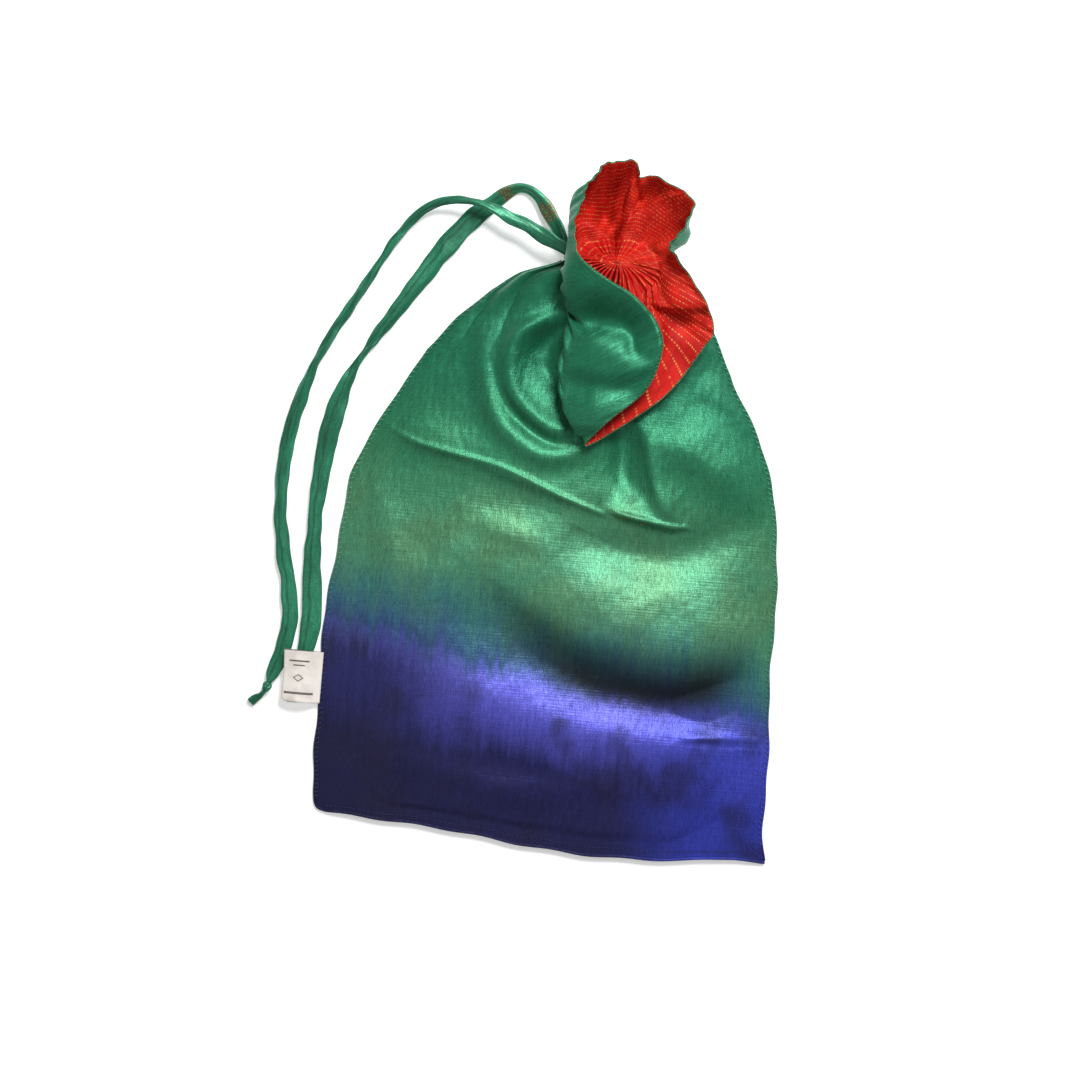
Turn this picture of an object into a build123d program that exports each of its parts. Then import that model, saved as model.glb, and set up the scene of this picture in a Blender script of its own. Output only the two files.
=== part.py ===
from build123d import *
import math
import os

os.makedirs("parts", exist_ok=True)

# Driving dimensions, in millimetres. +Z is up, +Y runs from the bottom seam to the mouth.
sack_width = 272
sack_length = 341          # bottom seam to the start of the casing
bottom_y = -163            # where the bottom seam lies
puff_height = 22           # how high the empty front panel stands off the table
outer_sheet = 0.8
lining_sheet = 0.6
layer_gap = 0.3            # air between two layers of cloth
lining_inset = 3.0         # how far the lining stops short of the outer edge

neck_x = 14                # the gathers sit a little right of the middle
neck_width = 56
neck_height = 25
casing_length = 26
gather_wall = 2.2          # gathered cloth, each layer
tunnel_height = 5.2
tunnel_clearance = 0.4     # air round the drawstring inside the tunnel

tail_diameter = 5.0
knot_diameter = 6.8
knot_length = 8
cut_end_length = 10

seam_width = 1.4
stitch_length = 3.2
stitch_pitch = 6.5
stitch_size = 0.5
casing_stitch_pitch = 5.5

label_width = 31           # along the seam
label_reach = 23           # out of the seam
label_rise = 7             # its outer end lies higher, over the short tail
label_sheet = 0.5
label_y = -76              # middle of the label
label_lift = 5.0           # height of the label at the seam

frill_reach = 39           # standing part, past the casing
frill_rim_height = 38
lobe_fold = 6.0            # height of the lobe's rolled left side

# Route points of the two tails, chosen by hand.
long_tail_points = [
    (-9, 191, 16), (-27, 200, 15), (-48, 210, 14), (-70, 218, 13), (-93, 216, 8),
    (-110, 200, 4), (-124, 175, 2.5), (-140, 146, 2.5), (-154, 120, 2.5), (-164, 92, 2.5),
    (-170, 61, 2.5), (-171, 30, 2.5), (-167, 1, 2.5), (-160, -26, 2.5), (-158, -46, 2.5),
    (-162, -65, 2.5), (-168, -82, 3.4),
]
short_tail_points = [
    (-9, 190, 9), (-16, 202, 8), (-24, 215, 6), (-32, 226, 4), (-43, 230, 2.5),
    (-53, 223, 2.5), (-68, 210, 2.5), (-83, 192, 2.5), (-100, 165, 2.5), (-119, 136, 2.5),
    (-135, 110, 2.5), (-143, 84, 2.5), (-147, 52, 2.5), (-149, 20, 2.5), (-148, -12, 2.5),
    (-145, -40, 2.5), (-147, -58, 2.5), (-150, -73, 3.4),
]

# Worked out from the values above.
loop_diameter = tunnel_height - 2 * tunnel_clearance
half_width = sack_width / 2
casing_y = bottom_y + sack_length + layer_gap
casing_end = casing_y + casing_length
neck_middle = neck_height / 2
lining_back_z = outer_sheet + layer_gap
lining_front_z = lining_back_z + lining_sheet + layer_gap
outer_front_z = lining_front_z + lining_sheet + layer_gap
lining_share_height = outer_sheet + layer_gap

# The sack's shape along its length: share of the length, share of the half width,
# share of the puff height. The last station is the neck.
stations = [
    (0.00, 1.00, 0.06), (0.05, 1.00, 0.40), (0.15, 1.00, 0.72), (0.42, 0.99, 1.00),
    (0.62, 0.94, 1.00), (0.74, 0.82, 1.00), (0.85, 0.67, 1.00), (0.93, 0.48, 1.02),
]


def station_sizes():
    """Y, middle X, half width and crown height at each station, ending at the neck."""
    sizes = []
    for length_share, width_share, height_share in stations:
        middle = neck_x * max(0.0, (length_share - 0.6) / 0.4) ** 2
        y = bottom_y + sack_length * length_share
        sizes.append((y, middle, half_width * width_share, puff_height * height_share))
    sizes.append((bottom_y + sack_length, neck_x, neck_width / 2, neck_height))
    return sizes


def side_points(side, inset):
    """Points along one side of the outline, side -1 for left and 1 for right."""
    return [(middle + side * (half - inset), y) for y, middle, half, crown in station_sizes()]


def finish(builder, name):
    builder.part.label = name
    export_step(builder.part, "parts/" + name + ".step")


def flat_panel(name, inset, low, thickness):
    """A panel that lies flat, as the back of the empty sack does."""
    left = side_points(-1, inset)
    right = side_points(1, inset)
    with BuildPart() as panel:
        with BuildSketch(Plane.XY.offset(low)):
            with BuildLine():
                Line(left[0], right[0])
                Polyline(*right)
                Line(right[-1], left[-1])
                Polyline(*left)
            make_face()
        extrude(amount=thickness)
    finish(panel, name)


def puffed_panel(name, inset, low, thickness, drop):
    """A panel that stands off the table in a long low dome."""
    with BuildPart() as panel:
        for y, middle, half, crown in station_sizes():
            reach = half - inset
            top = max(crown - drop, low + thickness + stitch_size)
            lean = thickness * min(1, crown / reach)
            with BuildSketch(Plane.XZ.offset(-y)):
                with BuildLine():
                    over = ThreePointArc(
                        (middle - reach, low + thickness), (middle, top), (middle + reach, low + thickness)
                    )
                    under = ThreePointArc(
                        (middle - reach + lean, low), (middle, top - thickness), (middle + reach - lean, low)
                    )
                    Line(over @ 0, under @ 0)
                    Line(over @ 1, under @ 1)
                make_face()
        loft(ruled=True)
    finish(panel, name)


def side_seam(name, side):
    """The turned edges of one side, between the front and the back panel."""
    outside = side_points(side, 0)
    inside = side_points(side, seam_width)
    with BuildPart() as seam:
        with BuildSketch(Plane.XY.offset(outer_sheet)):
            with BuildLine():
                Polyline(*outside)
                Line(outside[-1], inside[-1])
                Polyline(*inside)
                Line(inside[0], outside[0])
            make_face()
        extrude(amount=outer_front_z - outer_sheet)
    finish(seam, name)


def bottom_seam():
    """The turned edges along the bottom, between the two side seams."""
    length = sack_width - 2 * seam_width - 2 * layer_gap
    with BuildPart() as seam:
        with BuildSketch(Plane.XY.offset(outer_sheet)):
            with Locations((0, bottom_y - seam_width / 2)):
                Rectangle(length, seam_width)
        extrude(amount=outer_front_z - outer_sheet)
    finish(seam, "bottom_seam")


def stitch_places(side):
    """Evenly spaced places along one side of the outline, each turned to lie along it."""
    with BuildLine():
        edge = Polyline(*side_points(side, -2 * stitch_size))
    count = int(edge.length / stitch_pitch)
    places = []
    for number in range(1, count):
        place = edge @ (number / count)
        heading = edge % (number / count)
        turn = math.degrees(math.atan2(heading.Y, heading.X))
        places.append(Location((place.X, place.Y, (outer_front_z + outer_sheet) / 2), (0, 0, turn)))
    return places


def side_stitches():
    """Overlock stitches along both sides, all alike."""
    places = stitch_places(-1) + stitch_places(1)
    with BuildPart() as stitches:
        with Locations(*places):
            Box(stitch_length, stitch_size, outer_front_z + outer_sheet)
    finish(stitches, "side_stitches")


def casing_ring(name, width, height, wall):
    """One gathered layer of the casing: a stadium ring round the neck."""
    middle = (neck_x, neck_middle)
    with BuildPart() as ring:
        with BuildSketch(Plane.XZ.offset(-casing_y)):
            with Locations(middle):
                SlotOverall(width, height)
                SlotOverall(width - 2 * wall, height - 2 * wall, mode=Mode.SUBTRACT)
        extrude(amount=-casing_length)
        if name == "casing_outer":
            gap_reach = gather_wall + tunnel_height
            gap_height = 3 * tail_diameter
            with Locations((neck_x - width / 2, casing_end, neck_middle)):
                Box(2 * gap_reach, 1.4 * casing_length, gap_height, mode=Mode.SUBTRACT)
    finish(ring, name)


def casing_stitches():
    """Two rows of stitches over the top of the casing."""
    run = neck_width - neck_height
    count = int(run / casing_stitch_pitch)
    with BuildPart() as stitches:
        for y in (casing_y + casing_stitch_pitch / 2, casing_end - casing_stitch_pitch / 2):
            for number in range(count + 1):
                x = neck_x - run / 2 + run * number / count
                with Locations((x, y, neck_height + stitch_size / 2)):
                    Box(stitch_length, stitch_size, stitch_size)
    finish(stitches, "casing_stitches")


def drawstring_loop():
    """The drawstring inside the tunnel: along the back, round the right end, along the front."""
    bend = neck_middle - gather_wall - tunnel_height / 2
    straight = (neck_width - neck_height) / 2
    y = casing_y + casing_length / 2
    left = neck_x - straight
    right = neck_x + straight
    with BuildPart() as loop:
        with BuildLine() as route:
            Line((left, y, neck_middle - bend), (right, y, neck_middle - bend))
            ThreePointArc(
                (right, y, neck_middle - bend), (right + bend, y, neck_middle), (right, y, neck_middle + bend)
            )
            Line((right, y, neck_middle + bend), (left, y, neck_middle + bend))
        with BuildSketch(Plane(origin=route.line @ 0, z_dir=route.line % 0)):
            Circle(loop_diameter / 2)
        sweep()
    finish(loop, "drawstring_loop")


def bend_radii(points):
    """The largest arc that the two runs beside each corner allow."""
    corners = [Vector(*point) for point in points]
    radii = []
    for before, corner, after in zip(corners, corners[1:], corners[2:]):
        turn = math.radians((corner - before).get_angle(after - corner))
        shorter = min((corner - before).length, (after - corner).length)
        radii.append(0.45 * shorter / math.tan(turn / 2))
    return radii


def tail(name, points):
    radii = bend_radii(points)
    with BuildPart() as tube:
        with BuildLine():
            route = FilletPolyline(*points, radius=radii)
        with BuildSketch(Plane(origin=route @ 0, z_dir=route % 0)):
            Circle(tail_diameter / 2)
        sweep()
    finish(tube, name)
    expected = math.pi * (tail_diameter / 2) ** 2 * route.length
    print(name, "length", round(route.length, 1), "radii", [round(radius) for radius in radii])
    print(name, "volume", round(tube.part.volume), "section times length", round(expected))


def end_plane(points, past):
    """A plane across a tail's end, moved on along its last run."""
    last = Vector(*points[-1])
    heading = last - Vector(*points[-2])
    heading = Vector(heading.X, heading.Y, 0).normalized()
    return Plane(origin=last + heading * past, z_dir=heading)


def knot(name, points):
    """An overhand knot, drawn tight against the tail's end."""
    with BuildPart() as tied:
        with BuildSketch(end_plane(points, layer_gap)):
            Circle(knot_diameter / 2)
        extrude(amount=knot_length)
        fillet(tied.edges().filter_by(GeomType.CIRCLE), radius=0.3 * knot_diameter)
    finish(tied, name)


def cut_end():
    """The short end of cord that sticks out past the long tail's knot."""
    with BuildPart() as stub:
        with BuildSketch(end_plane(long_tail_points, 2 * layer_gap + knot_length)):
            Circle(0.4 * tail_diameter)
        extrude(amount=cut_end_length, taper=-4)
    finish(stub, "long_tail_cut_end")


def standing_frill(name, inset, thickness):
    """The part of the frill that stands round the mouth, a trough that flares open."""
    near = (casing_end + layer_gap, neck_x, 0.43 * neck_width, neck_middle)
    far = (casing_end + frill_reach, neck_x + 12, 0.62 * neck_width, frill_rim_height)
    with BuildPart() as frill:
        for y, middle, reach, rim in (near, far):
            low = inset + layer_gap
            wide = reach - inset
            with BuildSketch(Plane.XZ.offset(-y)):
                with BuildLine():
                    outside = ThreePointArc((middle - wide, rim), (middle, low), (middle + wide, rim))
                    inside = ThreePointArc(
                        (middle - wide + thickness, rim), (middle, low + thickness),
                        (middle + wide - thickness, rim)
                    )
                    Line(outside @ 0, inside @ 0)
                    Line(outside @ 1, inside @ 1)
                make_face()
        loft()
    finish(frill, name)


def lobe_sections():
    """Y, fold X, lower reach, upper reach, lowest Z and rise of the flopped lobe."""
    over_neck = neck_height + stitch_size + 2 * layer_gap
    over_front = puff_height + 1.5
    return [
        (casing_end - 5, neck_x - 24, 50, 44, over_neck, 8),
        (casing_y - 12, neck_x - 20, 72, 46, over_neck, 12),
        (casing_y - 46, neck_x - 20, 76, 54, over_front, 16),
        (casing_y - 78, neck_x - 18, 46, 38, over_front, 12),
        (casing_y - 101, neck_x - 8, 8, 7, over_front, lobe_fold + 1),
    ]


def lobe(name, inner, outer):
    """A flopped pouch of cloth, folded at its left and open at its right."""
    with BuildPart() as pouch:
        for y, fold, lower, upper, low, rise in lobe_sections():
            with BuildSketch(Plane.XZ.offset(-y)):
                with BuildLine():
                    Polyline(
                        (fold + lower, low + outer),
                        (fold + outer, low + outer),
                        (fold + outer, low + lobe_fold - outer),
                        (fold + upper, low + rise - outer),
                        (fold + upper, low + rise - inner),
                        (fold + inner, low + lobe_fold - inner),
                        (fold + inner, low + inner),
                        (fold + lower, low + inner),
                        close=True,
                    )
                make_face()
        loft(ruled=True)
    finish(pouch, name)


def side_label():
    """A ribbon folded in two, caught in the left seam, with a rounded outer corner."""
    slope = math.atan2(label_rise, label_reach)
    outward = (-math.cos(slope), 0, math.sin(slope))
    seam_x = side_points(-1, 0)[0][0] - 2.5 * stitch_size - layer_gap
    corner = Plane(origin=(seam_x, label_y, label_lift), x_dir=outward, z_dir=(0, 1, 0))
    thick = 3 * label_sheet
    with BuildPart() as label:
        with BuildSketch(corner):
            with Locations((label_reach / 2, 0)):
                Rectangle(label_reach, thick)
            with Locations(((label_reach - 2 * label_sheet) / 2, 0)):
                Rectangle(label_reach - 2 * label_sheet, label_sheet, mode=Mode.SUBTRACT)
        extrude(amount=label_width / 2, both=True)
    finish(label, "side_label")


flat_panel("outer_back_panel", 0, 0, outer_sheet)
flat_panel("lining_back_panel", lining_inset, lining_back_z, lining_sheet)
puffed_panel("lining_front_panel", lining_inset, lining_front_z, lining_sheet, lining_share_height)
puffed_panel("outer_front_panel", 0, outer_front_z, outer_sheet, 0)
side_seam("left_side_seam", -1)
side_seam("right_side_seam", 1)
bottom_seam()
side_stitches()

lining_ring_width = neck_width - 2 * (gather_wall + tunnel_height)
lining_ring_height = neck_height - 2 * (gather_wall + tunnel_height)
casing_ring("casing_outer", neck_width, neck_height, gather_wall)
casing_ring("casing_lining", lining_ring_width, lining_ring_height, lining_sheet + layer_gap)
casing_stitches()

drawstring_loop()
tail("long_tail", long_tail_points)
tail("short_tail", short_tail_points)
knot("long_tail_knot", long_tail_points)
knot("short_tail_knot", short_tail_points)
cut_end()

standing_frill("frill_outer", 0, outer_sheet)
standing_frill("frill_lining", outer_sheet + layer_gap, lining_sheet)
lobe("lobe_outer", 0, outer_sheet)
lobe("lobe_lining", outer_sheet + layer_gap, outer_sheet + layer_gap + lining_sheet)
side_label()
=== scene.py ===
import bpy
import math
import random
import numpy as np
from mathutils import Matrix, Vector, noise


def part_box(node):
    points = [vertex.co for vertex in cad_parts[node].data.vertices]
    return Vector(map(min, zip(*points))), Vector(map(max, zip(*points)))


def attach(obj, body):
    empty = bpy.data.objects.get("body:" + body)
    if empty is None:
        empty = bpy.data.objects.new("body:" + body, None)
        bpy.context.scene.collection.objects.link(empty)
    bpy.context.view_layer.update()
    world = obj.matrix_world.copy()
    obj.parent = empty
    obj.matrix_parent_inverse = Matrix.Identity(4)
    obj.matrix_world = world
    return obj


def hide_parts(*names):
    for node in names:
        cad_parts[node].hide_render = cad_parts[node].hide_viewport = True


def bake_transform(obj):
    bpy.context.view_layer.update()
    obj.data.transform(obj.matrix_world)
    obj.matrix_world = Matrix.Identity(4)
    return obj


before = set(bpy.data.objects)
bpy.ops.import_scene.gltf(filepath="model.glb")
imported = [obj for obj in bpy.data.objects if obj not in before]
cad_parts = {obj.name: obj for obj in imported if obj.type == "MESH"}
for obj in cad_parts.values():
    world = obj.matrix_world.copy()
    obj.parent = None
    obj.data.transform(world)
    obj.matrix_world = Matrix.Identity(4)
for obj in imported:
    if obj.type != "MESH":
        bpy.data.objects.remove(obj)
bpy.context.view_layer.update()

random.seed(7)

# Sizes in metres, worked out from the frame.
back_low, back_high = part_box("outer_back_panel")
label_low, label_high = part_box("side_label")
bottom_y = back_low.y
cloth = 0.0003
tail_width = 0.0092
tail_thick = 0.0034
tail_round = 0.021
tail_ring = 24
rest_height = 0.0002


# ---------------------------------------------------------------- helpers

def clear_selection():
    bpy.ops.object.select_all(action="DESELECT")


def set_uv(piece, place_uv):
    """UV in metres from each corner's vertex number."""
    layer = piece.data.uv_layers.new(name="cloth")
    place = np.empty(len(piece.data.loops), int)
    piece.data.loops.foreach_get("vertex_index", place)
    layer.data.foreach_set("uv", np.stack(place_uv(place), axis=-1).ravel())


def make_object(name, points, faces, smooth=True):
    """A mesh piece from its points and faces."""
    mesh = bpy.data.meshes.new(name)
    mesh.from_pydata(points, [], faces)
    mesh.update()
    piece = bpy.data.objects.new(name, mesh)
    bpy.context.scene.collection.objects.link(piece)
    if smooth:
        mesh.polygons.foreach_set("use_smooth", [True] * len(mesh.polygons))
    return piece


def ease(low, high, value):
    """0 below low, 1 above high, and smooth between them."""
    share = min(1.0, max(0.0, (value - low) / (high - low)))
    return share * share * (3 - 2 * share)


def mix(a, b, share):
    return a + (b - a) * share


def along(table, at):
    """A smooth value at a place, from (place, value) pairs."""
    if at <= table[0][0]:
        return table[0][1]
    for index in range(len(table) - 1):
        if at <= table[index + 1][0]:
            before = table[max(index - 1, 0)][1]
            start = table[index][1]
            end = table[index + 1][1]
            after = table[min(index + 2, len(table) - 1)][1]
            share = (at - table[index][0]) / (table[index + 1][0] - table[index][0])
            return curve_between(before, start, end, after, share)
    return table[-1][1]


def curve_between(before, start, end, after, share):
    """A Catmull-Rom curve between start and end."""
    return 0.5 * (
        2 * start
        + (end - before) * share
        + (2 * before - 5 * start + 4 * end - after) * share ** 2
        + (3 * start - before - 3 * end + after) * share ** 3
    )


def route_points(name, points, per_metre=900):
    """Evenly spaced points read from the NURBS spline that has these control points."""
    curve = bpy.data.curves.new(name + "_route", "CURVE")
    curve.dimensions = "3D"
    spline = curve.splines.new("NURBS")
    spline.points.add(len(points) - 1)
    for place, point in zip(spline.points, points):
        place.co = (*point, 1)
    spline.order_u = 3
    spline.use_endpoint_u = True
    spline.resolution_u = 24
    holder = bpy.data.objects.new(name + "_route", curve)
    bpy.context.scene.collection.objects.link(holder)
    bpy.context.view_layer.update()
    mesh = bpy.data.meshes.new_from_object(holder)
    line = [vertex.co.copy() for vertex in mesh.vertices]
    bpy.data.objects.remove(holder)
    bpy.data.curves.remove(curve)
    bpy.data.meshes.remove(mesh)
    return even_line(line, per_metre)


def even_line(line, per_metre):
    reach = [0.0]
    for a, b in zip(line, line[1:]):
        reach.append(reach[-1] + (b - a).length)
    count = max(4, int(reach[-1] * per_metre))
    evened = []
    index = 0
    for number in range(count + 1):
        target = reach[-1] * number / count
        while index < len(reach) - 2 and reach[index + 1] < target:
            index += 1
        step = reach[index + 1] - reach[index]
        share = 0 if step == 0 else (target - reach[index]) / step
        evened.append(line[index].lerp(line[index + 1], min(1, share)))
    return evened


def sweep_section(name, line, section, caps=True):
    """A tube along a line. section(share) gives its ring as (side, up) pairs."""
    up = Vector((0, 0, 1))
    points = []
    ring_size = len(section(0))
    for number, place in enumerate(line):
        ahead = line[min(number + 1, len(line) - 1)]
        behind = line[max(number - 1, 0)]
        heading = (ahead - behind).normalized()
        side = heading.cross(up).normalized()
        lift = side.cross(heading).normalized()
        for across, rise in section(number / (len(line) - 1)):
            point = place + side * across + lift * rise
            point.z = max(point.z, rest_height)
            points.append(point)
    faces = []
    for row in range(len(line) - 1):
        for column in range(ring_size):
            after = (column + 1) % ring_size
            a = row * ring_size
            faces.append((a + column, a + ring_size + column, a + ring_size + after, a + after))
    if caps:
        faces.append(tuple(range(ring_size)))
        last = (len(line) - 1) * ring_size
        faces.append(tuple(last + column for column in reversed(range(ring_size))))
    return make_object(name, points, faces)


# ---------------------------------------------------------------- materials

def shade(red, green, blue):
    """A colour from its 0 to 255 steps, made linear."""
    return tuple(((value / 255 + 0.055) / 1.055) ** 2.4 for value in (red, green, blue)) + (1.0,)


def is_socket(value):
    return isinstance(value, bpy.types.NodeSocket)


def owner(values):
    """The node tree of the first socket among the values."""
    return next(value for value in values if is_socket(value)).id_data


def feed(socket, value):
    """Link a socket to another, or set its value."""
    if is_socket(value):
        socket.id_data.links.new(value, socket)
    else:
        socket.default_value = value


def wire(item, **wires):
    """Feed a node's inputs by name."""
    for key, value in wires.items():
        feed(item.inputs[key.replace("_", " ")], value)
    return item


def node(tree, kind, settings=(), **wires):
    """A node with its settings and its inputs."""
    item = tree.nodes.new(kind)
    for key, value in dict(settings).items():
        setattr(item, key, value)
    return wire(item, **wires)


def maths(operation):
    """A function that makes one kind of maths node."""
    def make(*values, clamp=False):
        item = node(owner(values), "ShaderNodeMath", {"operation": operation, "use_clamp": clamp})
        for socket, value in zip(item.inputs, values):
            feed(socket, value)
        return item.outputs[0]
    return make


plus, minus, times = map(maths, ("ADD", "SUBTRACT", "MULTIPLY"))
times_plus, divided = map(maths, ("MULTIPLY_ADD", "DIVIDE"))
size_of, more, less, larger = map(maths, ("ABSOLUTE", "GREATER_THAN", "LESS_THAN", "MAXIMUM"))
fraction, whole, power = map(maths, ("FRACT", "FLOOR", "EXPONENT"))


def blend(share, first, second, kind="MIX"):
    item = node(owner((share, first, second)), "ShaderNodeMix", {"data_type": "RGBA", "blend_type": kind})
    for number, value in ((0, share), (6, first), (7, second)):
        feed(item.inputs[number], value)
    return item.outputs[2]


def stretch(vector, scale):
    item = node(vector.id_data, "ShaderNodeVectorMath", {"operation": "MULTIPLY"})
    feed(item.inputs[0], vector)
    item.inputs[1].default_value = scale
    return item.outputs[0]


def noisy(vector, scale=1.0, detail=2.0):
    return node(vector.id_data, "ShaderNodeTexNoise", Vector=vector, Scale=scale, Detail=detail).outputs[0]


def slope(value, low, high):
    """0 below low and 1 above high, smooth between."""
    item = node(value.id_data, "ShaderNodeMapRange", {"interpolation_type": "SMOOTHSTEP"})
    for number, amount in enumerate((value, low, high, 0.0, 1.0)):
        feed(item.inputs[number], amount)
    return item.outputs[0]


def bell(value, width):
    """1 where the value is 0, falling to 0 on both sides."""
    share = divided(value, width)
    return power(times(times(share, share), -1.0))


def swing(value, amount):
    """A 0 to 1 value made to swing about 0, times an amount."""
    return times(minus(value, 0.5), amount)


def split(vector):
    """The three parts of a vector."""
    return node(vector.id_data, "ShaderNodeSeparateXYZ", Vector=vector).outputs


def grey(value):
    """One value as a colour."""
    return node(value.id_data, "ShaderNodeCombineColor", Red=value, Green=value, Blue=value).outputs[0]


def group(name, inputs, outputs):
    tree = bpy.data.node_groups.new(name, "ShaderNodeTree")
    for title, kind in inputs:
        tree.interface.new_socket(title, in_out="INPUT", socket_type="NodeSocket" + kind)
    for title, kind in outputs:
        tree.interface.new_socket(title, in_out="OUTPUT", socket_type="NodeSocket" + kind)
    return tree, tree.nodes.new("NodeGroupInput"), tree.nodes.new("NodeGroupOutput")


def use_group(inner, **wires):
    return node(owner(wires.values()), "ShaderNodeGroup", {"node_tree": inner}, **wires)


def ramp(value, stops):
    item = node(value.id_data, "ShaderNodeValToRGB")
    feed(item.inputs[0], value)
    band = item.color_ramp
    while len(band.elements) < len(stops):
        band.elements.new(0.5)
    for element, (place, colour) in zip(band.elements, stops):
        element.position = place
        element.color = colour
    return item.outputs[0]


def dye_and_shade_group():
    """Dip-dyed colour: emerald at the neck, then teal, then indigo and navy at the bottom, with painted shade
    along the broad valley below the crest.
    """
    tree, entry, leave = group("dip_dye_and_valley_shade", [("Place", "Vector")], [("Color", "Color")])
    place = entry.outputs[0]
    x, y = split(place)[:2]
    flat = stretch(place, (1, 1, 0))
    wide = noisy(flat, 10.0)
    patch = noisy(stretch(place, (1.3, 1.0, 0)), 21.0)
    run = noisy(stretch(place, (240, 13, 0)), 1.0)
    depth = times_plus(x, 0.115, y)
    depth = plus(depth, swing(wide, 0.045))
    depth = plus(depth, swing(run, 0.026))
    stops = [
        (-0.170, (27, 27, 74)), (-0.122, (32, 32, 90)), (-0.094, (82, 82, 190)), (-0.072, (100, 100, 208)),
        (-0.057, (50, 84, 128)), (-0.036, (52, 112, 112)), (-0.012, (72, 138, 106)), (0.020, (70, 136, 100)),
        (0.060, (44, 124, 88)), (0.110, (26, 112, 80)), (0.190, (20, 106, 74)),
    ]
    colour = ramp(divided(plus(depth, 0.17), 0.36),
                  [((at + 0.17) / 0.36, shade(*tone)) for at, tone in stops])
    below = minus(1.0, slope(depth, -0.080, -0.046))
    left_dark = times(below, slope(times(x, -1.0), 0.020, 0.105))
    colour = blend(times(left_dark, 0.85), colour, shade(18, 19, 60))
    right_blue = times(below, slope(x, 0.040, 0.105))
    colour = blend(times(right_blue, 0.75), colour, shade(50, 62, 178))
    murky = times(below, slope(patch, 0.48, 0.66))
    colour = blend(times(murky, 0.6), colour, shade(30, 26, 62))
    olive = times(bell(minus(depth, 0.000), 0.05), slope(patch, 0.42, 0.62))
    colour = blend(times(olive, 0.34), colour, shade(88, 122, 76))
    # Painted shade: a band along the broad valley below the crest is darkened nearly to black.
    off = minus(x, 0.072)
    bow = times_plus(times(off, off), 3.4, times(larger(off, 0.0), 0.22))
    gap = minus(plus(y, 0.068), bow)
    gap = plus(gap, swing(wide, 0.02))
    valley_shade = times(bell(gap, 0.017), slope(x, -0.060, 0.024))
    valley_shade = times(valley_shade, minus(1.0, slope(x, 0.092, 0.130)))
    colour = blend(times(valley_shade, 0.93), colour, shade(12, 17, 19))
    tree.links.new(colour, leave.inputs[0])
    return tree


def threads_group():
    """Uneven threads: long fine streaks along V, and fainter ones across them."""
    tree, entry, leave = group("uneven_threads", [("Place", "Vector")],
                               [("Light", "Float"), ("Height", "Float")])
    place = entry.outputs[0]
    fine = noisy(stretch(place, (2100, 230, 0)), 1.0, 3.0)
    broad = noisy(stretch(place, (620, 52, 0)), 1.0, 2.0)
    weft = noisy(stretch(place, (40, 1100, 0)), 1.0, 2.0)
    grain = noisy(stretch(place, (1500, 900, 0)), 1.0, 1.0)
    total = times_plus(minus(fine, 0.5), 1.25, 1.0)
    total = times_plus(minus(broad, 0.5), 0.55, total)
    total = times_plus(minus(weft, 0.5), 0.35, total)
    total = times_plus(minus(grain, 0.5), 0.55, total)
    tree.links.new(total, leave.inputs[0])
    tree.links.new(plus(fine, times(weft, 0.5)), leave.inputs[1])
    return tree


def dashes_group():
    """Rows of short dashes across V: the gold thread of the lining."""
    tree, entry, leave = group("dash_rows", [("Place", "Vector"), ("Pitch", "Float")],
                               [("Mask", "Float")])
    axes = split(entry.outputs[0])
    wobble = noisy(entry.outputs[0], 60.0)
    at = times_plus(minus(wobble, 0.5), 0.0012, axes[1])
    row = divided(at, entry.outputs[1])
    line = size_of(minus(fraction(row), 0.5))
    line = minus(1.0, slope(line, 0.05, 0.12))
    shift = times(whole(row), 0.37)
    step = fraction(plus(divided(axes[0], 0.0029), shift))
    dash = less(step, 0.6)
    worn = slope(noisy(stretch(entry.outputs[0], (1, 1.6, 1)), 150.0), 0.36, 0.56)
    tree.links.new(times(times(line, dash), worn), leave.inputs[0])
    return tree


dye_and_shade = dye_and_shade_group()
threads = threads_group()
dashes = dashes_group()


def start_paint(name):
    paint = bpy.data.materials.new(name)
    paint.use_nodes = True
    return paint, paint.node_tree, paint.node_tree.nodes["Principled BSDF"]


def cloth_place(tree):
    return node(tree, "ShaderNodeUVMap", {"uv_map": "cloth"}).outputs[0]


def object_place(tree):
    return node(tree, "ShaderNodeTexCoord").outputs["Object"]


def bump(height, strength, distance):
    item = node(height.id_data, "ShaderNodeBump", Height=height, Strength=strength, Distance=distance)
    return item.outputs[0]


def satin_paint():
    """The outer cloth: dyed silk satin."""
    paint, tree, shader = start_paint("satin_outer")
    place = object_place(tree)
    woven = use_group(threads, Place=cloth_place(tree))
    # Dyed colour, with painted shade along the valley below the crest.
    colour = use_group(dye_and_shade, Place=place).outputs[0]
    light = grey(woven.outputs[0])
    colour = blend(1.0, colour, light, "MULTIPLY")
    wire(shader, Base_Color=colour, Metallic=0.55, Specular_IOR_Level=0.5, Sheen_Weight=0.16, Sheen_Roughness=0.35,
         Roughness=times_plus(woven.outputs[0], 0.06, 0.35), Normal=bump(woven.outputs[1], 0.75, 0.00035))
    return paint


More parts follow.
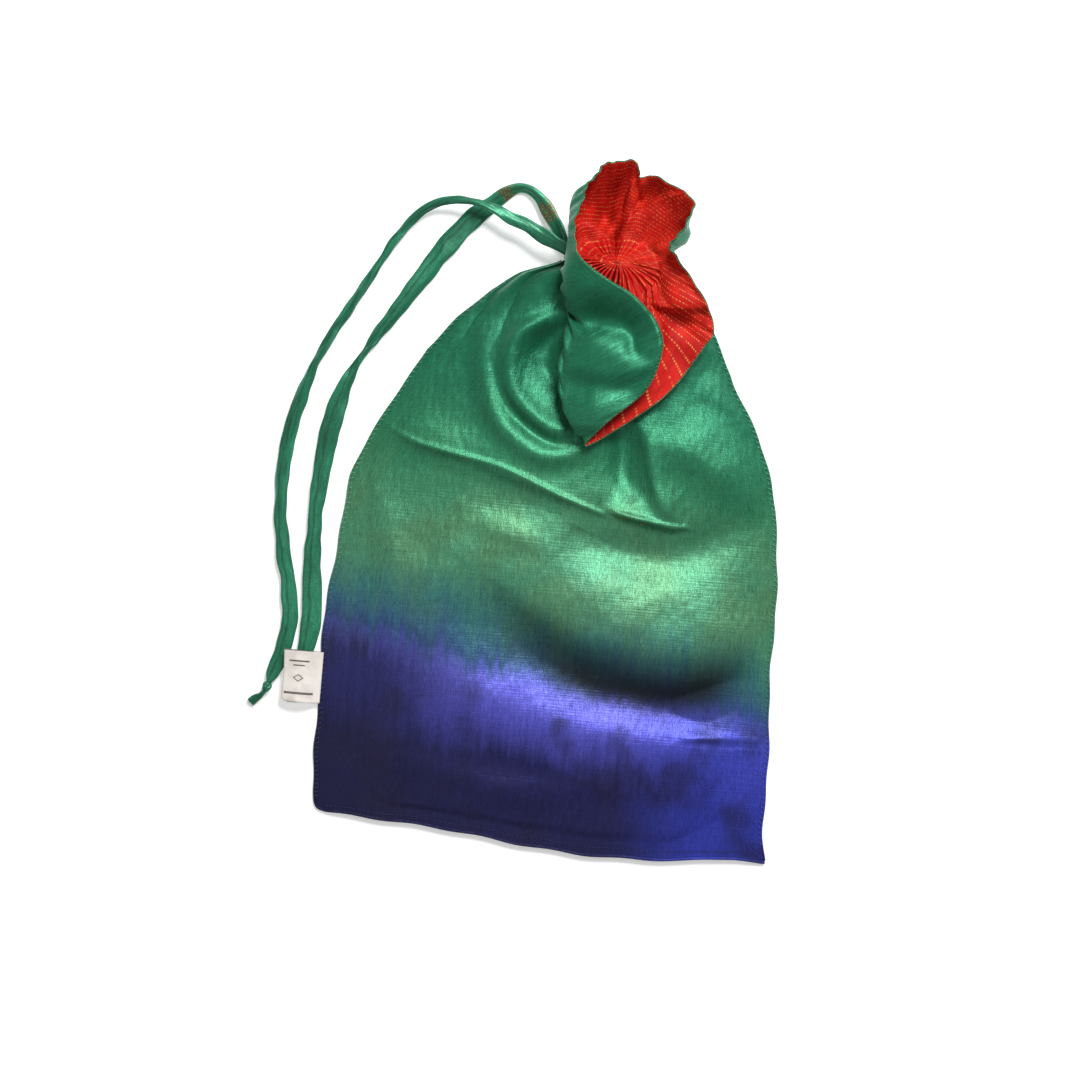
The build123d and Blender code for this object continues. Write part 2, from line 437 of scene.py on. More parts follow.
def red_paint():
    """The lining: red silk with rows of gold dashes."""
    paint, tree, shader = start_paint("red_lining")
    place = cloth_place(tree)
    axes = split(place)
    turned = node(tree, "ShaderNodeCombineXYZ", X=axes[1], Y=axes[0])
    rows = use_group(dashes, Place=place, Pitch=0.0027).outputs[0]
    rays = use_group(dashes, Place=turned.outputs[0], Pitch=0.0046).outputs[0]
    side = bell(minus(axes[0], 0.375), 0.11)
    gold = plus(times(rows, minus(1.0, side)), times(rays, side), clamp=True)
    woven = use_group(threads, Place=place)
    patch = noisy(place, 70.0)
    red = blend(slope(patch, 0.35, 0.7), shade(164, 18, 15), shade(196, 28, 22))
    light = grey(woven.outputs[0])
    red = blend(0.45, red, blend(1.0, red, light, "MULTIPLY"))
    height = plus(woven.outputs[1], times(gold, 1.5))
    wire(shader, Base_Color=blend(times(gold, 0.66), red, shade(236, 150, 84)), Metallic=times(gold, 0.4),
         Roughness=0.55, Specular_IOR_Level=0.12, Normal=bump(height, 0.4, 0.0003))
    return paint


def cord_paint(name, gold_places=()):
    """The drawstring: the same silk, sewn to a tube, dyed evenly green."""
    paint, tree, shader = start_paint(name)
    place = cloth_place(tree)
    axes = split(place)
    woven = use_group(threads, Place=place)
    patch = noisy(stretch(place, (60, 22, 0)), 1.0)
    green = blend(slope(patch, 0.35, 0.68), shade(24, 98, 70), shade(40, 128, 94))
    seam = bell(minus(axes[0], 0.0047), 0.00035)
    green = blend(times(seam, 0.55), green, shade(14, 58, 40))
    light = grey(woven.outputs[0])
    colour = blend(1.0, green, light, "MULTIPLY")
    for middle, reach in gold_places:
        near = bell(minus(axes[1], middle), reach)
        near = times(near, slope(noisy(place, 420.0), 0.25, 0.58))
        lines = use_group(dashes, Place=place, Pitch=0.0017).outputs[0]
        colour = blend(times(slope(near, 0.25, 0.6), 0.75), colour, shade(86, 74, 44))
        colour = blend(times(slope(near, 0.25, 0.6), times(lines, 0.7)),
                       colour, shade(190, 140, 70))
    wire(shader, Base_Color=colour, Metallic=0.4, Roughness=0.36, Sheen_Weight=0.1,
         Normal=bump(woven.outputs[1], 0.4, 0.0003))
    return paint


def thread_paint(name, tone, rough=0.5, dyed=False):
    paint, tree, shader = start_paint(name)
    place = object_place(tree)
    light = noisy(place, 900.0)
    dark = tuple(value * 0.55 for value in shade(*tone)[:3]) + (1.0,)
    colour = blend(slope(light, 0.35, 0.65), dark, shade(*tone))
    if dyed:
        y = split(place)[1]
        pale = times_plus(slope(y, -0.060, 0.030), 0.60, 0.10)
        colour = blend(pale, use_group(dye_and_shade, Place=place).outputs[0], colour)
    wire(shader, Base_Color=colour, Roughness=rough)
    return paint


def rule(x, y, low_x, high_x, middle_y, half):
    """A plain straight line, for the print and for the painted shade along the label's top edge."""
    inside = times(more(x, low_x), less(x, high_x))
    return times(inside, less(size_of(minus(y, middle_y)), half))


def label_paint():
    """Off-white cotton tape with generic print, plain lines and a small diamond, and a line of painted shade along
    its top edge.
    """
    paint, tree, shader = start_paint("label_ribbon")
    place = object_place(tree)
    x, y = split(place)[:2]
    print_and_edge_shade = rule(x, y, -0.1560, -0.1440, -0.0668, 0.00050)
    for low_x, high_x, middle_y, half in (
        (-0.1535, -0.1465, -0.0694, 0.00040), (-0.1580, -0.1405, -0.0862, 0.00070),
        # The last line runs along the label's whole top edge: painted shade where the two layers of the tape part.
        (-0.1700, -0.1300, -0.0600, 0.00075),
    ):
        print_and_edge_shade = larger(print_and_edge_shade, rule(x, y, low_x, high_x, middle_y, half))
    reach = plus(size_of(plus(x, 0.1500)), times(size_of(plus(y, 0.0770)), 1.4))
    diamond = less(size_of(minus(reach, 0.0028)), 0.0005)
    print_and_edge_shade = larger(print_and_edge_shade, diamond)
    woven = noisy(stretch(place, (1400, 1400, 0)), 1.0, 3.0)
    soft = noisy(place, 120.0)
    white = blend(slope(soft, 0.35, 0.65), shade(214, 206, 198), shade(228, 221, 213))
    worn = times(print_and_edge_shade, times_plus(woven, 0.5, 0.6), clamp=True)
    wire(shader, Base_Color=blend(worn, white, shade(38, 36, 38)), Roughness=0.8, Normal=bump(woven, 0.5, 0.0002))
    return paint


satin = satin_paint()
lining_red = red_paint()
cord_green = cord_paint("drawstring_silk")
cord_gold = cord_paint("drawstring_silk_gold", [(0.030, 0.0075), (0.062, 0.0055)])
pale_thread = thread_paint("pale_thread", (134, 200, 168), dyed=True)
gold_thread = thread_paint("gold_thread", (158, 140, 74), 0.4)
label_white = label_paint()


# ---------------------------------------------------------------- camera

def camera():
    lens = bpy.data.cameras.new("view")
    lens.lens = 80
    lens.sensor_width = 36
    lens.clip_start = 0.05
    lens.clip_end = 20
    eye = bpy.data.objects.new("view", lens)
    bpy.context.scene.collection.objects.link(eye)
    across = 0.648
    eye.location = (-0.0124, 0.0182, across * lens.lens / lens.sensor_width + 0.01)
    eye.rotation_euler = (0, 0, math.radians(5))
    bpy.context.scene.camera = eye


camera()


# ---------------------------------------------------------------- the drawstring's two tails

# The routes of the two tails, as in the part's source.
long_tail_points = [
    (-0.009, 0.191, 0.016), (-0.027, 0.200, 0.015), (-0.048, 0.210, 0.014), (-0.070, 0.218, 0.013),
    (-0.093, 0.216, 0.008), (-0.110, 0.200, 0.004), (-0.124, 0.175, 0.0025), (-0.140, 0.146, 0.0025),
    (-0.154, 0.120, 0.0025), (-0.164, 0.092, 0.0025), (-0.170, 0.061, 0.0025), (-0.171, 0.030, 0.0025),
    (-0.167, 0.001, 0.0025), (-0.160, -0.026, 0.0025), (-0.158, -0.046, 0.0025), (-0.162, -0.065, 0.0025),
    (-0.168, -0.082, 0.0034),
]
short_tail_points = [
    (-0.009, 0.190, 0.009), (-0.016, 0.202, 0.008), (-0.024, 0.215, 0.006), (-0.032, 0.226, 0.004),
    (-0.043, 0.230, 0.0025), (-0.053, 0.223, 0.0025), (-0.068, 0.210, 0.0025), (-0.083, 0.192, 0.0025),
    (-0.100, 0.165, 0.0025), (-0.119, 0.136, 0.0025), (-0.135, 0.110, 0.0025), (-0.143, 0.084, 0.0025),
    (-0.147, 0.052, 0.0025), (-0.149, 0.020, 0.0025), (-0.148, -0.012, 0.0025), (-0.145, -0.040, 0.0025),
    (-0.147, -0.058, 0.0025), (-0.150, -0.073, 0.0034),
]


def tail_section(widths, turns, seed):
    """The flattened ring of a sewn cloth tube, which narrows, turns and dents along its length."""
    def section(share):
        wide = tail_width / 2 * along(widths, share)
        turn = math.radians(along(turns, share))
        thick = tail_thick / 2 * (1.25 - 0.35 * along(widths, share))
        pairs = []
        for number in range(tail_ring):
            angle = 2 * math.pi * number / tail_ring
            flat = math.copysign(abs(math.cos(angle)) ** 0.75, math.cos(angle))
            dent = noise.noise(Vector((share * 22, 1.6 * math.sin(angle), seed + 1.4 * math.cos(angle))))
            off_fold = flat - 0.55 * math.sin(share * 16 + seed)
            fold = 0.45 * math.exp(-(off_fold / 0.16) ** 2) * max(0, math.sin(angle))
            rise = thick * (math.sin(angle) * (1 + 0.5 * dent) - fold * 0.8)
            across = wide * flat + 0.0011 * noise.noise(Vector((share * 34, flat * 2, seed + 5)))
            pairs.append((
                across * math.cos(turn) - rise * math.sin(turn),
                across * math.sin(turn) + rise * math.cos(turn),
            ))
        low = min(rise for across, rise in pairs)
        lift = max(0.0, -low - 0.0022) * 0.7
        return [(across, rise + lift) for across, rise in pairs]
    return section


def tube_uv(piece, line, ring_size):
    """UV round the tube and along it, in metres."""
    layer = piece.data.uv_layers.new(name="cloth")
    reach = [0.0]
    for a, b in zip(line, line[1:]):
        reach.append(reach[-1] + (b - a).length)
    for face in piece.data.polygons:
        columns = [piece.data.loops[loop].vertex_index % ring_size for loop in face.loop_indices]
        wraps = max(columns) - min(columns) > ring_size / 2
        for loop in face.loop_indices:
            vertex = piece.data.loops[loop].vertex_index
            column = vertex % ring_size
            if wraps and column == 0:
                column = ring_size
            layer.data[loop].uv = (column / ring_size * tail_round, reach[vertex // ring_size])


def tail(name, points, widths, turns, seed):
    line = route_points(name, points)
    piece = sweep_section(name, line, tail_section(widths, turns, seed))
    tube_uv(piece, line, tail_ring)
    return piece, line


long_tail_widths = [
    (0, 0.90), (0.06, 0.95), (0.11, 0.80), (0.16, 0.52), (0.23, 0.62), (0.33, 0.58), (0.42, 0.66),
    (0.50, 0.62),
    (0.57, 0.88), (0.65, 0.98), (0.72, 0.86), (0.80, 0.95), (0.88, 1.04), (0.965, 1.04),
    (0.987, 0.80), (1, 0.34),
]
long_tail_turns = [
    (0, 40), (0.06, 12), (0.11, -10), (0.16, -50), (0.23, 38), (0.33, -34), (0.42, 30),
    (0.50, -36), (0.57, 6),
    (0.72, -16), (0.80, 8), (1, 0),
]
short_tail_widths = [
    (0, 0.80), (0.08, 1.00), (0.13, 0.74), (0.20, 1.18), (0.28, 1.36), (0.40, 1.00), (0.47, 0.78),
    (0.50, 0.46),
    (0.54, 0.86), (0.60, 1.34), (0.70, 1.14), (0.78, 0.96), (0.86, 1.28), (0.95, 1.24),
    (0.985, 0.80), (1, 0.34),
]
short_tail_turns = [
    (0, 55), (0.08, 24), (0.13, 44), (0.20, 8), (0.28, -6), (0.40, 14), (0.47, -24), (0.50, -60), (0.54, 20),
    (0.60, -4), (0.78, 14), (0.86, 4), (1, 0),
]

long_tail, long_line = tail("drawstring_long_tail", long_tail_points, long_tail_widths, long_tail_turns, 1)
short_tail, short_line = tail(
    "drawstring_short_tail", short_tail_points, short_tail_widths, short_tail_turns, 2)

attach(long_tail, "tails")
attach(short_tail, "tails")
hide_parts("long_tail")
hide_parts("short_tail")
long_tail.data.materials.append(cord_green)
short_tail.data.materials.append(cord_gold)


# ---------------------------------------------------------------- floor and light

def area_light(name, place, aim, size, power):
    lamp = bpy.data.lights.new(name, "AREA")
    lamp.size = size
    lamp.energy = power
    holder = bpy.data.objects.new(name, lamp)
    bpy.context.scene.collection.objects.link(holder)
    holder.location = place
    holder.rotation_euler = (Vector(aim) - Vector(place)).to_track_quat("-Z", "Y").to_euler()


def floor():
    clear_selection()
    bpy.ops.mesh.primitive_plane_add(size=12, location=(0, 0, -0.0004))
    ground = bpy.context.active_object
    ground.name = "floor"
    paint, tree, shader = start_paint("pale_floor")
    wire(shader, Base_Color=(0.92, 0.92, 0.92, 1), Roughness=0.9,
         Emission_Color=(1, 1, 1, 1), Emission_Strength=0.32)
    ground.data.materials.append(paint)


def lights():
    area_light("key", (0.30, 0.88, 1.12), (0, 0.02, 0), 0.50, 24)
    area_light("fill", (-0.7, -0.5, 1.4), (0, 0, 0), 1.4, 3)
    world = bpy.data.worlds.new("soft")
    world.use_nodes = True
    world.node_tree.nodes["Background"].inputs["Color"].default_value = (1, 1, 1, 1)
    world.node_tree.nodes["Background"].inputs["Strength"].default_value = 0.30
    bpy.context.scene.world = world
    bpy.context.scene.view_settings.view_transform = "Standard"


floor()
lights()


# ---------------------------------------------------------------- the sack's cloth

# Half the sack's width and the middle's place along its length: (Y, value), in metres.
half_widths = [
    (bottom_y, 0.1355), (-0.110, 0.1360), (-0.020, 0.1340), (0.048, 0.1280), (0.090, 0.1120),
    (0.127, 0.0915), (0.148, 0.0775), (0.165, 0.0640), (0.177, 0.0500), (0.186, 0.0300),
]
sheet_end = 0.186
middles = [(bottom_y, 0.0015), (-0.060, -0.002), (0.060, 0.000), (0.127, 0.0020), (0.148, 0.0055),
           (0.165, 0.0090), (0.177, 0.0120), (sheet_end, 0.0155)]
crowns = [
    (bottom_y, 0.0016), (-0.150, 0.0050), (-0.110, 0.0085), (-0.040, 0.0130), (0.060, 0.0160),
    (0.120, 0.0175), (0.160, 0.0200), (sheet_end, 0.0230),
]
corner_round = 0.0060
seam_heights = [(bottom_y, 0.0012), (0.120, 0.0016), (0.160, 0.0040), (sheet_end, 0.0110)]


def table_values(table, places):
    return np.array([along(table, place) for place in places])


def stroke(x, y, points, heights, above, below, sharp=2.0):
    """Height of one fold: a line of points, its height at each, and its width on each side."""
    best = np.full(x.shape, 1e9)
    height = np.zeros(x.shape)
    side = np.zeros(x.shape)
    for (ax, ay), (bx, by), ha, hb in zip(points, points[1:], heights, heights[1:]):
        dx, dy = bx - ax, by - ay
        share = np.clip(((x - ax) * dx + (y - ay) * dy) / (dx * dx + dy * dy), 0, 1)
        gap_x = x - (ax + dx * share)
        gap_y = y - (ay + dy * share)
        gap = np.hypot(gap_x, gap_y)
        nearer = gap < best
        best = np.where(nearer, gap, best)
        height = np.where(nearer, ha + (hb - ha) * share, height)
        side = np.where(nearer, dx * gap_y - dy * gap_x, side)
    width = np.where(side >= 0, above, below)
    return height * np.exp(-(best / width) ** sharp)


def smooth_line(points, steps=8):
    """A smooth line through a fold's points."""
    line = []
    for index in range(len(points) - 1):
        before = points[max(index - 1, 0)]
        after = points[min(index + 2, len(points) - 1)]
        for step in range(steps):
            share = step / steps
            line.append(tuple(
                curve_between(before[axis], points[index][axis], points[index + 1][axis], after[axis], share)
                for axis in range(len(points[0]))
            ))
    line.append(tuple(points[-1]))
    return line


def folded(x, y, folds):
    """The heights of several folds together."""
    total = np.zeros(x.shape)
    for points, left, right in folds:
        line = smooth_line(points)
        total += stroke(x, y, [point[:2] for point in line], [point[2] for point in line], left, right)
    return total


# Folds of the front: points (X, Y, height), then the width on the left and on the right of the line.
front_folds = [
    # The long slanting crease, pinched to a thin ridge, and the short one that follows it.
    ([(-0.116, 0.081, 0.000), (-0.109, 0.078, 0.0009), (-0.091, 0.070, 0.0012), (-0.068, 0.065, 0.0012),
      (-0.0465, 0.061, 0.0011), (-0.030, 0.056, 0.0012), (-0.002, 0.045, 0.0012), (0.022, 0.037, 0.0010),
      (0.032, 0.034, 0.000)], 0.0020, 0.0012),
    ([(-0.110, 0.079, 0.000), (-0.091, 0.070, 0.0020), (-0.050, 0.061, 0.0026), (-0.002, 0.045, 0.0030),
      (0.026, 0.037, 0.000)], 0.018, 0.0036),
    ([(-0.116, 0.070, 0.000), (-0.092, 0.058, -0.0020), (-0.068, 0.052, -0.0024), (-0.036, 0.044, -0.0022),
      (0.000, 0.031, -0.0012)], 0.0070, 0.0240),
    ([(0.022, 0.040, 0.000), (0.034, 0.037, 0.0020), (0.052, 0.034, 0.0022), (0.068, 0.032, 0.0022),
      (0.078, 0.033, 0.000)], 0.0026, 0.0014),
    ([(0.024, 0.044, 0.000), (0.036, 0.038, 0.0024), (0.052, 0.035, 0.0030),
      (0.066, 0.033, 0.0020)], 0.010, 0.0030),
    # U folds that hang from the neck.
    ([(-0.060, 0.150, 0.000), (-0.056, 0.1225, 0.0036), (-0.048, 0.094, 0.0050), (-0.035, 0.079, 0.0052),
      (-0.015, 0.068, 0.0048), (0.006, 0.073, 0.0024), (0.020, 0.082, 0.000)], 0.0095, 0.0065),
    ([(-0.002, 0.160, 0.0020), (-0.018, 0.150, 0.0052), (-0.036, 0.139, 0.0060), (-0.040, 0.121, 0.0056),
      (-0.033, 0.101, 0.0056), (-0.013, 0.0855, 0.0052), (0.002, 0.086, 0.0020)], 0.0075, 0.0058),
    ([(-0.050, 0.128, 0.000), (-0.045, 0.107, -0.0012), (-0.031, 0.089, -0.0020), (-0.010, 0.077, -0.0018),
      (0.006, 0.080, 0.000)], 0.0035, 0.0040),
    ([(-0.030, 0.166, 0.000), (-0.052, 0.152, -0.0030), (-0.062, 0.136, -0.0022), (-0.066, 0.112, 0.000)],
     0.0080, 0.0100),
    # The dark pocket beside the neck and the hollow under the frill's tip.
    ([(-0.006, 0.152, -0.002), (-0.016, 0.140, -0.0072), (-0.018, 0.124, -0.0070), (-0.008, 0.108, -0.003)],
     0.0085, 0.0085),
    ([(0.026, 0.098, -0.002), (0.032, 0.080, -0.0066), (0.034, 0.062, -0.0058), (0.044, 0.046, 0.000)],
     0.0085, 0.0075),
    ([(0.040, 0.096, 0.000), (0.048, 0.078, 0.0040), (0.053, 0.058, 0.0050), (0.061, 0.043, 0.0044),
      (0.072, 0.038, 0.000)], 0.0100, 0.0050),
    # Long soft folds over the right side.
    ([(0.050, 0.091, 0.002), (0.078, 0.077, 0.0068), (0.104, 0.060, 0.0060), (0.126, 0.045, 0.001)],
     0.024, 0.014),
    ([(0.074, 0.122, 0.000), (0.090, 0.112, 0.0026), (0.108, 0.098, 0.0022), (0.120, 0.086, 0.000)],
     0.012, 0.006),
    ([(0.004, 0.026, 0.000), (0.030, 0.017, -0.0050), (0.062, 0.015, -0.0056), (0.095, 0.029, -0.0040),
      (0.128, 0.048, -0.001)], 0.012, 0.016),
    # The crest under them falls steeply to a broad valley that sweeps down to the right.
    ([(-0.060, 0.008, 0.000), (-0.020, -0.012, 0.0046), (0.020, -0.030, 0.0078), (0.062, -0.042, 0.0082),
      (0.100, -0.036, 0.0056), (0.128, -0.020, 0.0010)], 0.038, 0.016),
    ([(-0.064, -0.004, 0.000), (-0.036, -0.024, -0.0034), (-0.004, -0.047, -0.0052), (0.034, -0.064, -0.0058),
      (0.080, -0.072, -0.0056), (0.110, -0.058, -0.0036), (0.130, -0.040, 0.000)], 0.012, 0.018),
    ([(-0.080, -0.054, 0.001), (-0.030, -0.084, 0.0036), (0.040, -0.100, 0.0040), (0.100, -0.098, 0.0020)],
     0.016, 0.022),
    # Low creases near the bottom and the left side.
    ([(0.080, -0.094, 0.000), (0.096, -0.0925, 0.0016), (0.130, -0.091, 0.0005)], 0.004, 0.0018),
    ([(-0.120, 0.040, 0.000), (-0.108, 0.020, 0.0026), (-0.100, -0.010, 0.0024), (-0.106, -0.060, 0.000)],
     0.012, 0.012),
    ([(-0.062, 0.030, 0.000), (-0.064, 0.000, 0.0022), (-0.074, -0.030, 0.0016), (-0.078, -0.070, 0.000)],
     0.014, 0.012),
    ([(-0.090, -0.120, 0.0005), (-0.020, -0.132, 0.0018), (0.050, -0.126, 0.0008)], 0.008, 0.010),
    ([(-0.072, 0.034, 0.000), (-0.030, 0.020, 0.0018), (0.000, 0.012, 0.000)], 0.010, 0.008),
]

# Folds of the back, which is pressed to the table, so they only dent it.
back_folds = [
    ([(-0.090, 0.100, 0.000), (-0.020, 0.060, 0.0016), (0.060, 0.040, 0.000)], 0.006, 0.009),
    ([(-0.040, -0.090, 0.000), (0.040, -0.060, 0.0014), (0.110, -0.080, 0.000)], 0.008, 0.008),
    ([(-0.020, 0.160, 0.002), (-0.030, 0.120, 0.0020), (-0.050, 0.090, 0.000)], 0.005, 0.006),
    ([(0.040, 0.160, 0.002), (0.052, 0.126, 0.0020), (0.070, 0.090, 0.000)], 0.005, 0.006),
]


def soft_noise(x, y, size, seed):
    """Smooth unevenness over a grid."""
    values = [noise.noise(Vector((a / size, b / size, seed))) for a, b in zip(x.ravel(), y.ravel())]
    return np.array(values).reshape(x.shape)


def panel_grid(inset=0.0, columns=200, rows=250):
    """Places over one panel: u from -1 to 1 across it, X and Y, and its tables' values by row."""
    y_rows = np.linspace(bottom_y + inset, sheet_end, rows)
    halves = table_values(half_widths, y_rows)
    centres = table_values(middles, y_rows)
    shrink = np.array([1 + 2.5 * ease(0.120, sheet_end, y) for y in y_rows])
    u = np.linspace(-1, 1, columns)[None, :] * (1 - inset * shrink / halves)[:, None]
    rounding = np.array([ease(0.135, sheet_end, y) for y in y_rows])[:, None]
    across = u * (1 - rounding) + np.sin(u * math.pi / 2) * rounding
    x = centres[:, None] + halves[:, None] * across
    drop = np.clip(corner_round - (y_rows - bottom_y), 0, corner_round)[:, None]
    x = x + (corner_round - np.sqrt(corner_round ** 2 - drop ** 2)) * ((1 - u) / 2) ** 24
    x = x + 0.0022 * np.clip(1 - (y_rows[:, None] - bottom_y) / 0.022, 0, 1) ** 2 * ((1 + u) / 2) ** 10
    y = np.repeat(y_rows[:, None], columns, axis=1)
    return u, x, y, y_rows, rounding


# How far the bottom edge lies above or below its straight line: (X, value), in metres.
bottom_bow = [
    (-0.138, 0.0080), (-0.126, 0.0074), (-0.090, 0.0056), (-0.051, 0.0030), (-0.008, -0.0020),
    (0.037, -0.0050),
    (0.088, -0.0034), (0.118, 0.0004), (0.138, -0.0014),
]


def bottom_wave(x, y):
    """The bottom edge is not cut straight: it bows and waves a little."""
    fade = np.clip(1 - (y - bottom_y) / 0.06, 0, 1) ** 2
    across = np.linspace(-0.145, 0.145, 120)
    bow = np.interp(x, across, table_values(bottom_bow, across))
    return fade * (bow + 0.0005 * np.sin(x * 150))


def side_wave(u, y):
    """Both sides wander slightly in and out."""
    return np.sign(u) * np.abs(u) ** 6 * (0.0007 * np.sin(y * 70 + u * 2) + 0.0004 * np.sin(y * 190 + u))


def neck_pleats(u, y, count, depth):
    """Gathers that run down from the neck and die out."""
    near = np.clip((y - 0.085) / (sheet_end - 0.085), 0, 1)
    wander = 0.5 * np.sin(u * 5 + y * 30)
    waves = np.abs(np.sin(u * count + wander)) - 0.5
    return depth * near ** 2.2 * waves


def front_height(u, x, y, y_rows, rounding, sink):
    crown = table_values(crowns, y_rows)[:, None]
    edge = table_values(seam_heights, y_rows)[:, None]
    dome = (1 - np.abs(u) ** 2.6) * (1 - rounding) + np.cos(u * math.pi / 2) * rounding
    z = edge + (crown - edge) * dome
    rim = np.clip(1 - np.abs(u) ** 8, 0, 1)
    calm = 1 - 0.6 * rounding
    folds = folded(x, y, front_folds)
    soft = 0.0016 * soft_noise(x, y, 0.050, 3) + 0.0007 * soft_noise(x, y, 0.020, 9)
    fine = 0.00022 * soft_noise(x * 2.2, y, 0.0065, 4)
    pleats = neck_pleats(u, y, 11, 0.0052) * np.clip(1 - np.abs(u) ** 20, 0, 1)
    z += (folds * calm + soft) * rim + fine + pleats
    hem = np.clip(1 - (y - bottom_y) / 0.012, 0, 1)
    z += hem * 0.0007 * np.sin(x * 120) * rim
    lowest = edge + 0.0024 * np.clip(1 - np.abs(u) ** 12, 0, 1)
    return np.maximum(z, lowest) - sink


def back_height(u, x, y, y_rows, rounding, lift):
    edge = table_values(seam_heights, y_rows)[:, None]
    cup = np.abs(u) ** 10 * (1 - rounding) + (1 - np.cos(u * math.pi / 2)) * rounding
    z = rest_height + lift + (edge - rest_height - lift) * np.clip(cup, 0, 1)
    z += folded(x, y, back_folds) * (1 - np.abs(u) ** 6)
    return np.maximum(z, rest_height)


def grid_piece(name, x, y, z, flip=False):
    """A sheet over a grid of points, with UV in metres of the flat cloth."""
    rows, columns = x.shape
    points = np.stack([x, y, z], axis=-1).reshape(-1, 3)
    index = np.arange(rows * columns).reshape(rows, columns)
    a, b = index[:-1, :-1], index[:-1, 1:]
    c, d = index[1:, 1:], index[1:, :-1]
    order = (a, d, c, b) if flip else (a, b, c, d)
    faces = np.stack(order, axis=-1).reshape(-1, 4)
    piece = make_object(name, points.tolist(), faces.tolist())
    set_uv(piece, lambda place: ((place % columns) / (columns - 1) * sack_flat[0],
                                 place // columns / (rows - 1) * sack_flat[1]))
    return piece


def thicken(piece, amount, offset=0.0):
    """Give a sheet its thickness."""
    clear_selection()
    piece.select_set(True)
    bpy.context.view_layer.objects.active = piece
    bpy.ops.object.modifier_add(type="SOLIDIFY")
    piece.modifiers[-1].thickness = amount
    piece.modifiers[-1].offset = offset
    bpy.ops.object.modifier_apply(modifier=piece.modifiers[-1].name)


panel_points = {}


def panel(name, node, side, inset, depth):
    columns, rows = (280, 345) if name == "outer_front" else (130, 160)
    u, x, y, y_rows, rounding = panel_grid(inset, columns, rows)
    x = x + side_wave(u, y)
    shape = front_height if side == "front" else back_height
    z = shape(u, x, y, y_rows, rounding, depth)
    y = y + bottom_wave(x, y)
    panel_points[name] = np.stack([x, y, z], axis=-1)
    piece = grid_piece(name, x, y, z, flip=side == "back")
    if name != "outer_front":
        thicken(piece, cloth)
    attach(piece, "sack")
    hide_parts(node)
    return piece


sack_flat = (0.272, 0.341)
outer_front = panel("outer_front", "outer_front_panel", "front", 0.0, 0.0)
outer_back = panel("outer_back", "outer_back_panel", "back", 0.0, 0.0)
lining_front = panel("lining_front", "lining_front_panel", "front", 0.0030, 0.0008)
lining_back = panel("lining_back", "lining_back_panel", "back", 0.0050, 0.0006)


# ---------------------------------------------------------------- the frill round the mouth

neck_centre = Vector((0.019, 0.189, 0.0160))
neck_back = Vector((0, 0.69, -0.72))
neck_half = (0.022, 0.0095)

# Stations round the mouth, from the back over the left to the front and on to the right:
# degrees round the neck, then the near fold, the far fold and the edge, in millimetres.
frill_stations = [
    (0, (22, 206, 9), (25, 224, 19), (28, 238, 25)),
    (18, (17, 207, 9), (20, 229, 15), (25, 245, 34)),
    (33, (11, 206, 8), (12, 226, 11), (12, 244, 37)),
    (48, (4, 205, 9), (3, 225, 19), (5, 240, 38)),
    (62, (-3, 203, 12), (-8, 222, 27), (-1, 231, 39)),
    (76, (-6, 198, 15), (-12, 214, 31), (-5, 221, 41)),
    (90, (-8, 193, 17), (-11, 201, 33), (-8, 205, 43)),
    (104, (-9, 187, 19), (-11, 187, 34), (-6, 189, 45)),
    (116, (-9, 178, 21), (-12, 173, 36), (4, 179, 46)),
    (127, (-8, 170, 23), (-7, 160, 36), (16, 172, 47)),
    (138, (-6, 163, 24), (2, 147, 34), (28, 166, 47)),
    (148, (-4, 157, 24), (-1, 133, 33), (38, 158, 46)),
    (157, (-2, 151, 24), (-5, 119, 31), (46, 148, 44)),
    (166, (0, 146, 24), (-6, 108, 30), (49, 135, 41)),
    (182, (6, 139, 24), (-3, 94, 28), (42, 112, 36)),
    (198, (13, 136, 24), (3, 85, 26), (21, 91, 29)),
    (206, (17, 136, 24), (9, 92, 25), (9, 76, 26)),
    (214, (23, 138, 25), (22, 104, 25), (25, 86, 25)),
    (232, (37, 147, 26), (48, 126, 26), (55, 111, 25)),
    (250, (47, 160, 28), (63, 148, 28), (74, 140, 27)),
    (259, (49, 168, 28), (66, 159, 30), (79, 152, 29)),
    (277, (48, 183, 26), (58, 177, 33), (69, 172, 35)),
    (292, (45, 192, 22), (51, 191, 33), (51, 192, 40)),
    (304, (43, 197, 19), (57, 200, 29), (50, 200, 42)),
    (315, (41, 201, 16), (58, 208, 28), (58, 212, 42)),
    (325, (38, 204, 12), (50, 216, 22), (59, 225, 39)),
    (348, (28, 207, 9), (34, 225, 15), (39, 238, 31)),
]
around_count = 620
out_count = 70
pleat_count = 36
frill_round = 0.544
frill_tall = 0.071


def neck_point(degrees):
    angle = math.radians(degrees)
    left = Vector((-1, 0, 0))
    return neck_centre + neck_back * neck_half[1] * math.cos(angle) + left * neck_half[0] * math.sin(angle)


def station_rings():
    """The four closed rings of control points, by station."""
    rings = [[], [], [], []]
    for degrees, near, far, edge in frill_stations:
        rings[0].append(neck_point(degrees))
        for ring, place in zip(rings[1:], (near, far, edge)):
            ring.append(Vector(place) / 1000)
    return rings


def closed_ring(points, count):
    """A closed smooth ring through the points, shared out by station."""
    total = len(points)
    ring = []
    for number in range(count):
        at = number * total / count
        index = int(at)
        four = [points[(index + step) % total] for step in (-1, 0, 1, 2)]
        ring.append(curve_between(*four, at - index))
    return ring


def frill_surface():
    """Points of the frill: a grid of rings from the neck to the mouth's edge."""
    rings = [closed_ring(points, around_count) for points in station_rings()]
    surface = np.zeros((out_count, around_count, 3))
    for column in range(around_count):
        neck, near, far, edge = (ring[column] for ring in rings)
        line = [neck, near, far, edge]
        for row in range(out_count):
            at = 3 * row / (out_count - 1)
            index = min(int(at), 2)
            before = line[index - 1] if index > 0 else neck * 2 - near
            after = line[index + 2] if index < 2 else edge * 2 - far
            surface[row, column] = curve_between(before, line[index], line[index + 1], after, at - index)
    return surface


